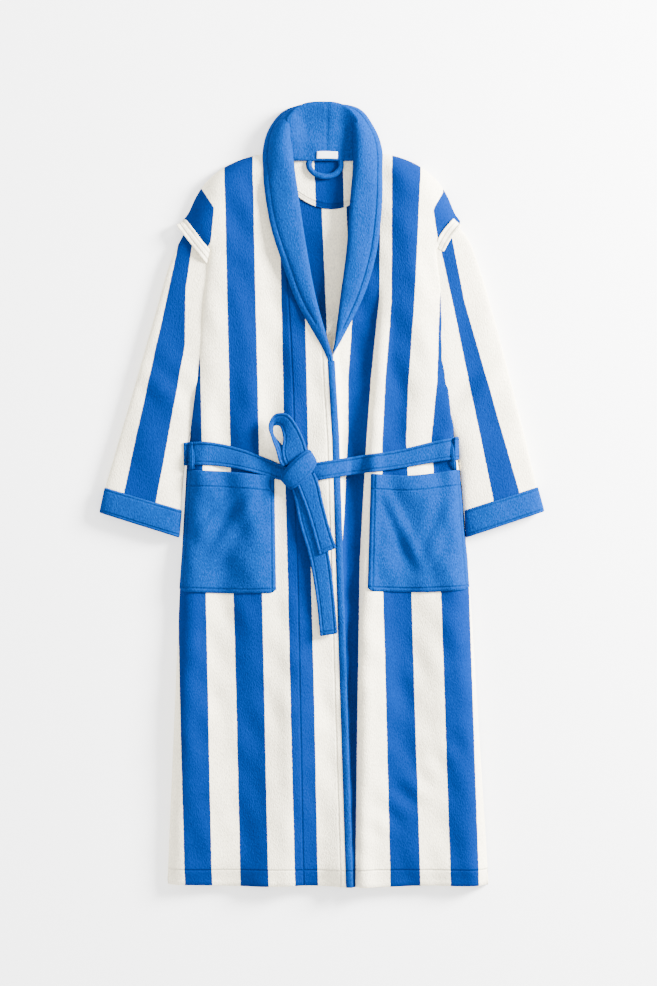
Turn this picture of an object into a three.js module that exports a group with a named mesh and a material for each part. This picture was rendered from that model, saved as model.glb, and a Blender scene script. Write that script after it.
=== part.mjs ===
// A striped terry bathrobe, lying flat on its back with its belt tied. Millimetres, +Z up.
// It is drawn from the middle of the back neck seam: y runs down to the hem (negative) and up to
// the collar's rim (positive). Right and left are the wearer's, so right is at -X. The right front
// lies over the left one. The group is moved at the end so that its origin is the middle of its base.
import * as THREE from 'three';
import { mergeVertices } from 'three/addons/utils/BufferGeometryUtils.js';

// ---- body: half widths, and distances down from the neck seam
const BODY_LENGTH = 1181;
const CHEST_HALF = 190;
const HEM_HALF = 260;
const HEM_DRIFT = 10; // the hem lies this far towards the wearer's left
const UNDERARM_DROP = 231;
const SHOULDER_HALF = 226;
const SHOULDER_DROP = 101;
const SIDE_FLARE = 0.75; // power of the side's flare from the underarm to the hem
const SHOULDER_ROUND = 2.6; // power of the shoulder line: flat by the neck, steep at the tip
const ARMHOLE_HALF = 181;
const ARMHOLE_DROP = 149;
const SLEEVE_OUTLET_DROP = 438; // the sleeve lies inside the body's layers down to here
const SPLIT_DROP = 789; // the fronts turn back from here down
const SPLIT_GAP = 1.6; // lets the skirt's side seam turn past the front above it

// ---- cloth, and the space inside the body
const CLOTH = 4;
const GAP = 0.3;
const SLEEVE_HEIGHT = 15;
const SLEEVE_LIFT = 0.5;
const SLEEVE_CLEAR = 2.5; // between the sleeve's head and the front over it
const CAVITY = SLEEVE_LIFT + SLEEVE_HEIGHT + SLEEVE_CLEAR;
const SKIRT_FOOT_GAP = 0.8;
const NECK_SHARE = 0.43; // the back panel is lifted over the collar's fall out to this share
const SLOPE_SHARE = 0.65; // and is down on the floor again at this share of the shoulder's half
const TIP_SHARE = 0.85;
const CROWN_SHARES = [1, 1, TIP_SHARE, SLOPE_SHARE, NECK_SHARE, 0.36, 0.3]; // columns along the shoulder
const FRONT_SHARES = [0, 0, 0.15, 0.35, 0.6, 0.8, 1]; // the same columns across a front
const UNDER_COLLAR = 0.4; // a front reaches this share of the lapel's width under it
const SEAM_STEP = 1; // the side seam's edge, beside the sleeve, above the front's underside

// ---- front edges, as x at the crossing and at the hem
const OVER_EDGE = [24, 49];
const UNDER_EDGE = [12, -38]; // hidden under the right front
const EDGE_STRIP = 8;
const LAP_ROOM = [8, 4]; // the least that the lap's two columns keep from the front's inner edge
const LAP_RISE = [-72, -50]; // the right front climbs over the left one between these

// ---- collar
const COLLAR_STAND = 93;
const COLLAR_HALF = 97;
const COLLAR_SIDE_Y = 8;
const NECK_HALF = 47;
const CROSS_DROP = 316;
const CROSS_X = 16;
const CROSS_STEP = 20;
const LAPEL_GAP = 1.5;
const RIGHT_LAPEL = { tip: 44, rollPower: 1.4, outerPower: 1.8 };
const LEFT_LAPEL = { tip: 4, rollPower: 1.85, outerPower: 2.6 };
const COLLAR_THICK = 10;
const COLLAR_RIM = 4.5;
const COLLAR_BACK = [
  { inner: [1.02, 0.43], outer: [0.97, 0.45], top: 36 },
  { inner: [1, 0.75], outer: [0.8, 0.78], top: 30 },
  { inner: [0.68, 1], outer: [0.5, 0.965], top: 24 },
  { inner: [0, 1], outer: [0, 1], top: 20 },
]; // round the back: shares of the neck's and the collar's half width and height
const STAND_THICK = 4;
const STAND_INSET = 2;
const STAND_RIM = 7;
const FALL_THICK = 5;
const FALL_DEPTH = 25;
const FALL_SHARE = 0.9; // of the collar's half width
const FALL_ROUND = 2.4;

// ---- neck facing, hanger loop and label
const FACING_HALF = 44;
const FACING_DEPTH = 80;
const FACING_CURVE = 14;
const FACING_THICK = 2.5;
const HANGER_X = [-26, 37];
const HANGER_Y = -6;
const HANGER_SAG = 20;
const HANGER_RADIUS = 3.5;
const HANGER_SHAPE = [[0, 0], [0.16, 0.72], [0.5, 1], [0.84, 0.72], [1, 0]]; // shares across and down
const LABEL_X = [-8, 25];
const LABEL_Y = -1;
const LABEL_HEIGHT = 10;
const LABEL_THICK = 0.8;

// ---- sleeves, as [distance from the middle, y] on either side
const SLEEVE_HEAD = { outer: [214, -118], inner: [75, -205] };
const SLEEVE_SHOULDER = { outer: [240, -152], inner: [108, -262] };
const SLEEVE_ARMPIT = { outer: [300, -365], inner: [194, -395] };
const SLEEVE_OUTLET = { outer: [313, -411], inner: [226, -436] };
const CUFF_TOP = { outer: [351, -534], inner: [229, -571] };
const CUFF_END = { outer: [360, -574], inner: [234, -614] };
const SLEEVE_WALL = 3;
const CUFF_THICK = 4;
const TUBE_SQUARE = 0.4; // power that squares the flattened sleeve's section
const BAND_WIDTH = 12;
const BAND_THICK = 3;

// ---- pockets
const POCKET_DROP = 508;
const POCKET_SLOPE = 10; // the inner end of the mouth hangs this much lower
const POCKET_FOOT_DROP = 702;
const POCKET_INNER = 77;
const POCKET_ROOM = 6;
const POCKET_CLOTH = 3;
const POCKET_SEAM = 5;

// ---- belt
const BELT_WIDTH = 36;
const BELT_THICK = 3.5;
const BELT_DROP = 475;
const BELT_TILT = 0.02; // rise of the belt per mm towards the wearer's left
const BELT_EASE = 2;
const BELT_ARCH = 22; // length over which the back panel climbs over the belt
const BELT_RUN_END = { right: [-74, -33], left: [-4, -34] }; // from the belt's middle line, as below
const BELT_RUN_END_WIDTH = { right: 17, left: 27 };
const LOOP_WIDTH = 6;
const LOOP_THICK = 2.5;
const LOOP_INSET = 6;
const LOOP_SPARE = 9; // of the loop beyond the belt's edge
const LOOP_REACH = BELT_WIDTH / 2 + LOOP_SPARE;
const LOOP_CLEAR = 1.5; // above the pocket
const LOOP_ROOM = 6;
const KNOT_OUTLINE = [[-71, -38], [-62, -55], [-47, -67], [-9, -22], [-14, -3], [-24, 6]];
const KNOT_THICK = 12;
const TAIL_TOP = [-26, -36];
const SHORT_TAIL_END = [9, -162];
const LONG_TAIL_END = [11, -295];
const TAIL_WIDTH = [31, 27];
const BOW_OUTLINE = [[-50, -22], [-66, -9], [-86, 35], [-79, 54], [-61, 62], [-44, 49], [-36, 25], [-33, -1]];
const BOW_HOLE = [[-78, 36], [-65, 22], [-65, 46], [-76, 44]];
const BOW_THICK = 7;

const BLUE = 0x1b6ec2;
const CREAM = 0xece6da;
const WHITE = 0xf2f2f2;

// ---- levels above the floor
const FRONT_Z = CLOTH + CAVITY;
const OVER_Z = FRONT_Z + CLOTH + GAP;
const ON_FRONT = FRONT_Z + CLOTH + GAP; // what lies on the left front, or beside the lap
const ON_LAP = OVER_Z + CLOTH + GAP;
const NECK_LIFT = FALL_THICK + GAP;
const BELT_LIFT = BELT_THICK + GAP;
const BELT_ZONE = BELT_WIDTH / 2 + Math.abs(BELT_TILT) * HEM_HALF + 1;

const robe = new THREE.Group();
const { lerp, clamp } = THREE.MathUtils;
const mix = (a, b, t) => a.map((value, k) => lerp(value, b[k], t));
const steps = (from, to, count) => Array.from({ length: count + 1 }, (_, k) => lerp(from, to, k / count));

// ---- making meshes
function signedVolume(geometry) {
  const [a, b, c] = [new THREE.Vector3(), new THREE.Vector3(), new THREE.Vector3()];
  const { index, attributes } = geometry;
  let volume = 0;
  for (let k = 0; k < index.count; k += 3) {
    a.fromBufferAttribute(attributes.position, index.getX(k));
    b.fromBufferAttribute(attributes.position, index.getX(k + 1));
    c.fromBufferAttribute(attributes.position, index.getX(k + 2));
    volume += a.dot(b.cross(c)) / 6;
  }
  return volume;
}

function add(name, color, geometry) {
  geometry.deleteAttribute('normal');
  geometry.deleteAttribute('uv');
  const closed = mergeVertices(geometry, 1e-3);
  if (signedVolume(closed) < 0) closed.index.array.reverse();
  closed.computeVertexNormals();
  const terry = new THREE.MeshStandardMaterial({ color, roughness: 0.95, metalness: 0 });
  const mesh = new THREE.Mesh(closed, terry);
  mesh.name = name;
  robe.add(mesh);
}

// A layer of cloth: a segmented box whose grid point (i, j) goes where place(i, j, top) says.
function layer(name, color, columns, rows, place) {
  const geometry = new THREE.BoxGeometry(1, 1, 1, columns, rows, 1);
  const { position } = geometry.attributes;
  for (let k = 0; k < position.count; k += 1) {
    const i = Math.round((position.getX(k) + 0.5) * columns);
    const j = Math.round((position.getY(k) + 0.5) * rows);
    position.setXYZ(k, ...place(i, j, position.getZ(k) > 0));
  }
  add(name, color, geometry);
}

// A flat strap between two points, with its own width at each end.
function strap(name, color, from, to, widths, base, thick) {
  const rows = 4;
  const along = new THREE.Vector2(to[0] - from[0], to[1] - from[1]).normalize();
  layer(name, color, 1, rows, (i, j, top) => {
    const [x, y] = mix(from, to, j / rows);
    const out = (i - 0.5) * lerp(widths[0], widths[1], j / rows);
    return [x - along.y * out, y + along.x * out, base + (top ? thick : 0)];
  });
}

// A flattened tube open at both ends, through rows of { outer, inner } points.
function sleeveTube(name, color, side, rows, base, height, wall) {
  const around = 16;
  const loop = 2 * rows.length;
  const geometry = new THREE.TorusGeometry(1, 0.3, loop, around);
  const { position, uv } = geometry.attributes;
  for (let k = 0; k < position.count; k += 1) {
    const angle = (2 * Math.PI * (Math.round(uv.getX(k) * around) % around)) / around;
    const step = Math.round(uv.getY(k) * loop) % loop;
    const outside = step < rows.length;
    const { outer, inner } = rows[outside ? step : loop - 1 - step];
    const middle = mix(outer, inner, 0.5);
    const width = Math.hypot(outer[0] - inner[0], outer[1] - inner[1]);
    const square = (t) => Math.sign(t) * Math.abs(t) ** TUBE_SQUARE;
    const reach = square(Math.cos(angle)) * (outside ? 1 : 1 - (2 * wall) / width);
    const rise = square(Math.sin(angle)) * (height / 2 - (outside ? 0 : wall));
    const [x, y] = middle.map((value, axis) => value + reach * (outer[axis] - value));
    position.setXYZ(k, side * x, y, base + height / 2 + rise);
  }
  add(name, color, geometry);
}

// ---- outline of the body
const below = (y) => clamp((-y - UNDERARM_DROP) / (BODY_LENGTH - UNDERARM_DROP), 0, 1);
const drift = (y) => HEM_DRIFT * below(y);
const sideX = (side, y) => side * (CHEST_HALF + (HEM_HALF - CHEST_HALF) * below(y) ** SIDE_FLARE) + drift(y);
const upper = (y) => clamp((y + UNDERARM_DROP) / (UNDERARM_DROP - SHOULDER_DROP), 0, 1);

function edgeX(side, y) {
  if (y <= -UNDERARM_DROP) return sideX(side, y);
  const [from, to, low, high] =
    y > -ARMHOLE_DROP
      ? [ARMHOLE_HALF, SHOULDER_HALF, ARMHOLE_DROP, SHOULDER_DROP]
      : [CHEST_HALF, ARMHOLE_HALF, UNDERARM_DROP, ARMHOLE_DROP];
  return side * lerp(from, to, (y + low) / (low - high));
}

// The neck and shoulder line, by x.
function crownY(x) {
  const out = clamp((Math.abs(x) - COLLAR_HALF) / (SHOULDER_HALF - COLLAR_HALF), 0, 1);
  const neck = Math.min(Math.abs(x) / COLLAR_HALF, 1);
  return COLLAR_SIDE_Y * neck ** 2 - (COLLAR_SIDE_Y + SHOULDER_DROP) * out ** SHOULDER_ROUND;
}

// Rows below the underarm are straight; above it they bend up to the neck and shoulder line.
const rowY = (y0, crownX) => y0 + upper(y0) * (crownY(crownX) + SHOULDER_DROP);

const lapelOf = (side) => (side < 0 ? RIGHT_LAPEL : LEFT_LAPEL);

function rollX(side, y) {
  const down = clamp(-y / CROSS_DROP, 0, 1);
  const reach = side * NECK_HALF - CROSS_X;
  return CROSS_X + reach * (1 - down ** lapelOf(side).rollPower) + side * LAPEL_GAP;
}

function lapelX(side, y) {
  const down = clamp(-y / (CROSS_DROP + lapelOf(side).tip), 0, 1);
  const reach = side * COLLAR_HALF - CROSS_X;
  return CROSS_X + reach * (1 - down ** lapelOf(side).outerPower) + side * LAPEL_GAP;
}

function freeEdge(side, y) {
  const [top, hem] = side < 0 ? OVER_EDGE : UNDER_EDGE;
  return lerp(top, hem, clamp((-y - CROSS_DROP) / (BODY_LENGTH - CROSS_DROP), 0, 1));
}

// ---- back panel, which climbs over the belt and over the collar's fall
const beltLift = (y) => BELT_LIFT * clamp(1 - (Math.abs(y + BELT_DROP) - BELT_ZONE) / BELT_ARCH, 0, 1);
const NECK_ROWS = [-ARMHOLE_DROP, (-ARMHOLE_DROP - SHOULDER_DROP) / 2, -SHOULDER_DROP];

function backPanel() {
  const half = [0, NECK_SHARE / 2, NECK_SHARE, SLOPE_SHARE, TIP_SHARE, 1];
  const columns = [...half.slice(1).map((u) => -u).reverse(), ...half];
  const rows = [
    ...steps(-BODY_LENGTH, -BELT_DROP - BELT_ZONE - BELT_ARCH, 5),
    -BELT_DROP - BELT_ZONE,
    -BELT_DROP + BELT_ZONE,
    -BELT_DROP + BELT_ZONE + BELT_ARCH,
    -UNDERARM_DROP,
    ...NECK_ROWS,
  ];
  layer('back_panel', CREAM, columns.length - 1, rows.length - 1, (i, j, top) => {
    const u = columns[i];
    const y0 = rows[j];
    const x = Math.abs(u) * edgeX(Math.sign(u) || 1, y0) + (u === 0 ? drift(y0) : 0);
    const neck = y0 > -ARMHOLE_DROP && Math.abs(u) <= NECK_SHARE ? NECK_LIFT : 0;
    return [x, rowY(y0, u * SHOULDER_HALF), beltLift(y0) + neck + (top ? CLOTH : 0)];
  });
}

// ---- fronts: a flat top, a side wall down to the back panel and a slope down to the shoulder seam
function frontColumns(side, outer, inner) {
  const across = (share) => lerp(outer, inner, share);
  if (side > 0) return FRONT_SHARES.map((share) => [across(share), FRONT_Z]);
  return [
    ...FRONT_SHARES.slice(0, 4).map((share) => [across(share), FRONT_Z]),
    [Math.min(LAP_RISE[0], inner - LAP_ROOM[0]), FRONT_Z],
    [Math.min(LAP_RISE[1], inner - LAP_ROOM[1]), OVER_Z],
    [inner, OVER_Z],
  ];
}

function frontInner(side, y) {
  if (y > -CROSS_DROP) return lerp(rollX(side, y), lapelX(side, y), UNDER_COLLAR);
  return freeEdge(side, y) + side * (EDGE_STRIP + GAP);
}

function front(name, side, rows, foot) {
  const crown = CROWN_SHARES.map((share) => side * share * SHOULDER_HALF);
  layer(name, side < 0 ? BLUE : CREAM, crown.length - 1, rows.length - 1, (i, j, top) => {
    const y0 = rows[j];
    const seam = y0 === -SHOULDER_DROP;
    const inner = frontInner(side, Math.min(rowY(y0, crown.at(-1)), 0));
    const [flatX, base] = frontColumns(side, edgeX(side, y0), inner)[i];
    const x = seam ? crown[i] : flatX;
    const wall = i < 2;
    const floor = CLOTH + GAP + (CROWN_SHARES[i] <= NECK_SHARE ? NECK_LIFT : 0);
    let z = (seam && !wall ? floor : base) + (top ? CLOTH : 0);
    if (i === 0) z = y0 > -BELT_DROP + BELT_ZONE ? base + SEAM_STEP : CLOTH + foot + beltLift(y0);
    return [x - (wall && !top ? side * CLOTH : 0), rowY(y0, crown[i]), z];
  });
}

function fronts(side, who) {
  const bodyRows = [
    ...steps(-SPLIT_DROP, -BELT_DROP - BELT_ZONE - BELT_ARCH, 3),
    -BELT_DROP - BELT_ZONE,
    -BELT_DROP + BELT_ZONE,
    -SLEEVE_OUTLET_DROP,
    -CROSS_DROP - CROSS_STEP,
    -CROSS_DROP + CROSS_STEP,
    -UNDERARM_DROP,
    -ARMHOLE_DROP,
    -SHOULDER_DROP,
  ];
  const skirtTop = -SPLIT_DROP - SPLIT_GAP;
  front(`${who}_front`, side, bodyRows, GAP);
  front(`${who}_front_skirt`, side, steps(-BODY_LENGTH, skirtTop, 4), SKIRT_FOOT_GAP);
  frontEdge(`${who}_front_edge`, side, -SPLIT_DROP, -CROSS_DROP - CROSS_STEP);
  frontEdge(`${who}_skirt_edge`, side, -BODY_LENGTH, skirtTop);
}

// The rolled edge of the facing that shows along a front's free edge.
function frontEdge(name, side, from, to) {
  const base = side < 0 ? OVER_Z : FRONT_Z;
  layer(name, BLUE, 1, 3, (i, j, top) => {
    const y = lerp(from, to, j / 3);
    return [freeEdge(side, y) + side * i * EDGE_STRIP, y, base + (top ? CLOTH : 0)];
  });
}

// ---- collar: two lapels that wrap round to the back, the stand between them and the fall behind
function collar(name, side) {
  const base = side < 0 ? ON_LAP : ON_FRONT;
  const { tip } = lapelOf(side);
  const lapel = steps(0, 1, 7).map((t) => {
    const innerY = lerp(-CROSS_DROP, 0, t);
    const outerY = lerp(-CROSS_DROP - tip, COLLAR_SIDE_Y, t);
    const inner = [rollX(side, innerY), innerY];
    const outer = [lapelX(side, outerY), outerY];
    return { inner, outer, base, top: base + COLLAR_THICK };
  });
  const around = COLLAR_BACK.map(({ inner, outer, top }) => ({
    inner: [side * (inner[0] * NECK_HALF + GAP), inner[1] * (COLLAR_STAND - COLLAR_RIM)],
    outer: [side * (outer[0] * COLLAR_HALF + GAP), outer[1] * COLLAR_STAND],
    base: NECK_LIFT + GAP,
    top,
  }));
  const rows = [...lapel, ...around];
  layer(name, BLUE, 3, rows.length - 1, (i, j, top) => {
    const row = rows[j];
    return [...mix(row.inner, row.outer, i / 3), top ? row.top : row.base];
  });
}

function collarStand() {
  const base = NECK_LIFT + CLOTH + 2 * GAP;
  const half = NECK_HALF - STAND_INSET;
  const shoulder = COLLAR_BACK[1].inner[1] * COLLAR_STAND - STAND_INSET;
  const rows = [[half, 2 * GAP], [half, shoulder], [0.66 * half, COLLAR_STAND - STAND_RIM]];
  layer('collar_stand', BLUE, 4, 2, (i, j, top) => {
    const [reach, y] = rows[j];
    return [(i / 2 - 1) * reach, y, base + (top ? STAND_THICK : 0)];
  });
}

function collarFall() {
  layer('collar_fall', BLUE, 8, 3, (i, j, top) => {
    const u = i / 4 - 1;
    const share = Math.abs(FALL_SHARE * u);
    const lower = -FALL_DEPTH * (1 - share ** 2);
    const rim = COLLAR_STAND * (1 - share ** FALL_ROUND) ** (1 / FALL_ROUND);
    return [FALL_SHARE * u * COLLAR_HALF, lerp(lower, rim, j / 3), top ? FALL_THICK : 0];
  });
}

// ---- inside the back neck
const NECK_SLOPE = NECK_ROWS.slice(0, 2).map((y0) => rowY(y0, 0));
const backTop = (y) => CLOTH + NECK_LIFT * clamp((y - NECK_SLOPE[0]) / (NECK_SLOPE[1] - NECK_SLOPE[0]), 0, 1);

function neckFacing() {
  layer('neck_facing', CREAM, 6, 2, (i, j, top) => {
    const u = i / 3 - 1;
    const y = [-FACING_DEPTH + FACING_CURVE * u ** 2, NECK_SLOPE[1] + 1, -1][j];
    return [u * FACING_HALF, y, backTop(y) + 2 * GAP + (top ? FACING_THICK : 0)];
  });
}

function hangerLoop() {
  const z = backTop(0) + 3 * GAP + FACING_THICK + HANGER_RADIUS;
  const [from, to] = HANGER_X;
  const points = HANGER_SHAPE.map(
    ([across, down]) => new THREE.Vector3(lerp(from, to, across), HANGER_Y - HANGER_SAG * down, z),
  );
  const section = new THREE.Shape().absarc(0, 0, HANGER_RADIUS, 0, 2 * Math.PI);
  const extrudePath = new THREE.CatmullRomCurve3(points);
  add('hanger_loop', BLUE, new THREE.ExtrudeGeometry(section, { extrudePath, steps: 16, curveSegments: 8 }));
}

function neckLabel() {
  const base = NECK_LIFT + CLOTH + STAND_THICK + 4 * GAP;
  layer('neck_label', WHITE, 1, 1, (i, j, top) => {
    const y = LABEL_Y + j * LABEL_HEIGHT;
    return [LABEL_X[i], y, base + (top ? LABEL_THICK : 0)];
  });
}

// ---- sleeves, cuffs and the seam bands over the armholes
function inset(row, amount) {
  const width = Math.hypot(row.outer[0] - row.inner[0], row.outer[1] - row.inner[1]);
  const share = amount / width;
  return { outer: mix(row.outer, row.inner, share), inner: mix(row.inner, row.outer, share) };
}

const between = (a, b, t) => ({ outer: mix(a.outer, b.outer, t), inner: mix(a.inner, b.inner, t) });

function sleeve(side, who) {
  const base = CLOTH + SLEEVE_LIFT;
  const fold = CUFF_THICK + GAP;
  const cuffTop = inset(CUFF_TOP, fold);
  const rows = [
    SLEEVE_HEAD,
    SLEEVE_SHOULDER,
    between(SLEEVE_SHOULDER, SLEEVE_ARMPIT, 0.5),
    SLEEVE_ARMPIT,
    SLEEVE_OUTLET,
    between(SLEEVE_OUTLET, cuffTop, 0.5),
    cuffTop,
    between(cuffTop, inset(CUFF_END, fold), 0.96),
  ];
  sleeveTube(`${who}_sleeve`, CREAM, side, rows, base, SLEEVE_HEIGHT, SLEEVE_WALL);
  const cuffHeight = SLEEVE_HEIGHT + 2 * fold;
  sleeveTube(`${who}_cuff`, BLUE, side, [CUFF_TOP, CUFF_END], base - fold, cuffHeight, CUFF_THICK);
}

function armholeBand(side, who) {
  const tip = [SHOULDER_HALF, -SHOULDER_DROP];
  const low = [ARMHOLE_HALF, -ARMHOLE_DROP];
  const length = Math.hypot(tip[0] - low[0], tip[1] - low[1]);
  const out = (BAND_WIDTH / 2 + GAP) / length;
  const shift = ([x, y]) => [side * (x + out * (tip[1] - low[1])), y - out * (tip[0] - low[0])];
  strap(`${who}_armhole_band`, CREAM, shift(tip), shift(low), [BAND_WIDTH, BAND_WIDTH], FRONT_Z, BAND_THICK);
}

// ---- pockets: a panel held off the front by its sewn rim, open at the top
function pocket(side, who) {
  const tall = POCKET_FOOT_DROP - POCKET_DROP;
  const wide = Math.abs(sideX(side, -POCKET_DROP)) - POCKET_INNER;
  const across = [0, POCKET_SEAM / wide, (POCKET_SEAM + 1) / wide, 0.5];
  const columns = [...across, ...across.slice(0, 3).map((share) => 1 - share).reverse()];
  const rows = [0, POCKET_SEAM / tall, (POCKET_SEAM + 1) / tall, 0.5, 1];
  layer(`${who}_pocket`, BLUE, columns.length - 1, rows.length - 1, (i, j, top) => {
    const mouth = -POCKET_DROP - POCKET_SLOPE * columns[i];
    const y = lerp(-POCKET_FOOT_DROP, mouth, rows[j]);
    const x = lerp(sideX(side, y), side * POCKET_INNER, columns[i]);
    const rim = i < 2 || i > columns.length - 3 || j < 2;
    const room = top ? POCKET_ROOM + POCKET_CLOTH : rim ? 0 : POCKET_ROOM;
    return [x, y, ON_FRONT + room];
  });
}

// ---- belt
const beltY = (x) => -BELT_DROP + BELT_TILT * x;
const onBelt = ([x, y]) => [x, y - BELT_DROP];
const BELT_BASE = { right: ON_FRONT, left: ON_LAP };
const beltSide = (side) => sideX(side, -BELT_DROP) + side * BELT_EASE;

function beltBack() {
  const [right, left] = [beltSide(-1), beltSide(1)];
  const shape = new THREE.Shape();
  shape.moveTo(right - BELT_THICK, BELT_BASE.right - GAP);
  shape.lineTo(right - BELT_THICK, 0);
  shape.lineTo(left + BELT_THICK, 0);
  shape.lineTo(left + BELT_THICK, BELT_BASE.left - GAP);
  shape.lineTo(left, BELT_BASE.left - GAP);
  shape.lineTo(left, BELT_THICK);
  shape.lineTo(right, BELT_THICK);
  shape.lineTo(right, BELT_BASE.right - GAP);
  const geometry = new THREE.ExtrudeGeometry(shape, { depth: BELT_WIDTH, bevelEnabled: false });
  const { position } = geometry.attributes;
  for (let k = 0; k < position.count; k += 1) {
    const [x, z, across] = [position.getX(k), position.getY(k), position.getZ(k)];
    position.setXYZ(k, x, beltY(x) + across - BELT_WIDTH / 2, z);
  }
  add('belt_back_run', BLUE, geometry);
}

function beltRun(side, who) {
  const x = beltSide(side) + side * BELT_THICK;
  const widths = [BELT_WIDTH, BELT_RUN_END_WIDTH[who]];
  const end = onBelt(BELT_RUN_END[who]);
  strap(`belt_${who}_run`, BLUE, [x, beltY(x)], end, widths, BELT_BASE[who], BELT_THICK);
}

function beltLoop(side, who) {
  const middle = beltY(sideX(side, -BELT_DROP));
  const low = Math.max(middle - LOOP_REACH, LOOP_CLEAR - POCKET_DROP);
  const high = middle + LOOP_REACH;
  const floor = ON_FRONT;
  const ceiling = BELT_BASE[who] + BELT_THICK + LOOP_ROOM;
  const shape = new THREE.Shape();
  shape.moveTo(low, floor);
  shape.lineTo(low, ceiling + LOOP_THICK);
  shape.lineTo(high, ceiling + LOOP_THICK);
  shape.lineTo(high, floor);
  shape.lineTo(high - LOOP_THICK, floor);
  shape.lineTo(high - LOOP_THICK, ceiling);
  shape.lineTo(low + LOOP_THICK, ceiling);
  shape.lineTo(low + LOOP_THICK, floor);
  const geometry = new THREE.ExtrudeGeometry(shape, { depth: LOOP_WIDTH, bevelEnabled: false });
  const outer = sideX(side, -BELT_DROP) - side * LOOP_INSET;
  const { position } = geometry.attributes;
  for (let k = 0; k < position.count; k += 1) {
    position.setXYZ(k, outer - side * position.getZ(k), position.getX(k), position.getY(k));
  }
  add(`${who}_belt_loop`, BLUE, geometry);
}

function knotAndTails() {
  const tailStep = BELT_THICK + GAP;
  const tail = (name, end, base) =>
    strap(name, BLUE, onBelt(TAIL_TOP), onBelt(end), TAIL_WIDTH, base, BELT_THICK);
  tail('belt_long_tail', LONG_TAIL_END, ON_LAP);
  tail('belt_short_tail', SHORT_TAIL_END, ON_LAP + tailStep);
  const flat = (points) => points.map((point) => new THREE.Vector2(...onBelt(point)));
  const knot = new THREE.Shape(flat(KNOT_OUTLINE));
  const knotSolid = new THREE.ExtrudeGeometry(knot, { depth: KNOT_THICK, bevelEnabled: false });
  add('belt_knot', BLUE, knotSolid.translate(0, 0, ON_LAP + 2 * tailStep));
  const bow = new THREE.Shape(flat(BOW_OUTLINE));
  bow.holes.push(new THREE.Path(flat(BOW_HOLE)));
  const bowSolid = new THREE.ExtrudeGeometry(bow, { depth: BOW_THICK, bevelEnabled: false });
  add('belt_bow_loop', BLUE, bowSolid.translate(0, 0, ON_LAP));
}

backPanel();
[[-1, 'right'], [1, 'left']].forEach(([side, who]) => {
  fronts(side, who);
  collar(`${who}_collar`, side);
  sleeve(side, who);
  armholeBand(side, who);
  pocket(side, who);
  beltRun(side, who);
  beltLoop(side, who);
});
collarStand();
collarFall();
neckFacing();
hangerLoop();
neckLabel();
beltBack();
knotAndTails();

robe.position.y = (BODY_LENGTH - COLLAR_STAND) / 2;
export default robe;
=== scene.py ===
# The looks of a striped terry bathrobe that lies flat on its back with its belt tied.
# Lengths are in millimetres until a mesh is made; the studio and the camera are in metres. Right and left
# are the wearer's, so right is at -X, and a side is -1 for right and 1 for left.
import math

import bmesh
import bpy
import numpy as np
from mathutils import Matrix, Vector


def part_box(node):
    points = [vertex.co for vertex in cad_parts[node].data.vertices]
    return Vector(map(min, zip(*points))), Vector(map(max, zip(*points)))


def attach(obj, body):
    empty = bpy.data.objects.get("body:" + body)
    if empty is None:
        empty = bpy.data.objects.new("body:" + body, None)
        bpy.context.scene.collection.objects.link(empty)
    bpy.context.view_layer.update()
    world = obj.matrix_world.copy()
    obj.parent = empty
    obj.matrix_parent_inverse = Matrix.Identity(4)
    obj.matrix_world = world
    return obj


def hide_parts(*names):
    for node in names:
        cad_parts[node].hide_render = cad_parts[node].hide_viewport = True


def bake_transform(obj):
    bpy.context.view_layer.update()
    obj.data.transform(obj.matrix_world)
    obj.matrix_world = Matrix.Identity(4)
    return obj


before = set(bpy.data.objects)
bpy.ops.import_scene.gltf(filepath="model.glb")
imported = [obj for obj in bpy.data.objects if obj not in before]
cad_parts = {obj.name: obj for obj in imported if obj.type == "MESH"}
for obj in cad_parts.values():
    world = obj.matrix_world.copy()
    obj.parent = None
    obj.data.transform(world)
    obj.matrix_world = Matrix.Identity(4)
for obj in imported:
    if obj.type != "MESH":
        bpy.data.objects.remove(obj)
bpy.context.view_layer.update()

MM = 0.001


# ---------------------------------------------------------------- places taken from the frame
def edge_of(node, corner, axis):
    """One side of a CAD node's box, in millimetres: corner 0 is its low end and 1 its high end."""
    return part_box(node)[corner][axis] / MM


HEM_Y = edge_of("back_panel", 0, 1)
SPLIT_Y = edge_of("right_front", 0, 1)
TIP_Y = {-1: edge_of("right_collar", 0, 1), 1: edge_of("left_collar", 0, 1)}
UNDER_TOP = edge_of("left_front", 1, 2)
OVER_TOP = edge_of("right_front", 1, 2)
CLOTH = 3.6
FAR = 99  # beyond the reach of any seam or rounded border
WHO = {-1: "right", 1: "left"}


# ---------------------------------------------------------------- numbers
def lerp(a, b, t):
    return a + (b - a) * t


def ramp(value, low, high):
    """0 below low, 1 above high and smooth between them; low may be above high."""
    t = np.clip((value - low) / (high - low), 0, 1)
    return t * t * (3 - 2 * t)


def through(knots, at):
    """A smooth curve through (position, value) knots, level beyond its ends."""
    place, value = np.array(sorted(knots), float).T
    slope = np.gradient(value, place)
    k = np.clip(np.searchsorted(place, at) - 1, 0, len(place) - 2)
    wide = place[k + 1] - place[k]
    t = np.clip((np.asarray(at, float) - place[k]) / wide, 0, 1)
    a, b = value[k], value[k + 1]
    cubic = (2 * t**3 - 3 * t**2 + 1) * a + (3 * t**2 - 2 * t**3) * b
    return cubic + wide * ((t**3 - 2 * t**2 + t) * slope[k] + (t**3 - t**2) * slope[k + 1])


def points_through(points, count):
    """count points along a smooth curve through a few points, of any dimension."""
    points = np.array(points, float)
    step = np.linalg.norm(np.diff(points, axis=0), axis=1)
    place = np.concatenate([[0], np.cumsum(step)])
    at = np.linspace(0, place[-1], count)
    return np.stack([through(zip(place, column), at) for column in points.T], axis=1)


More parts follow.
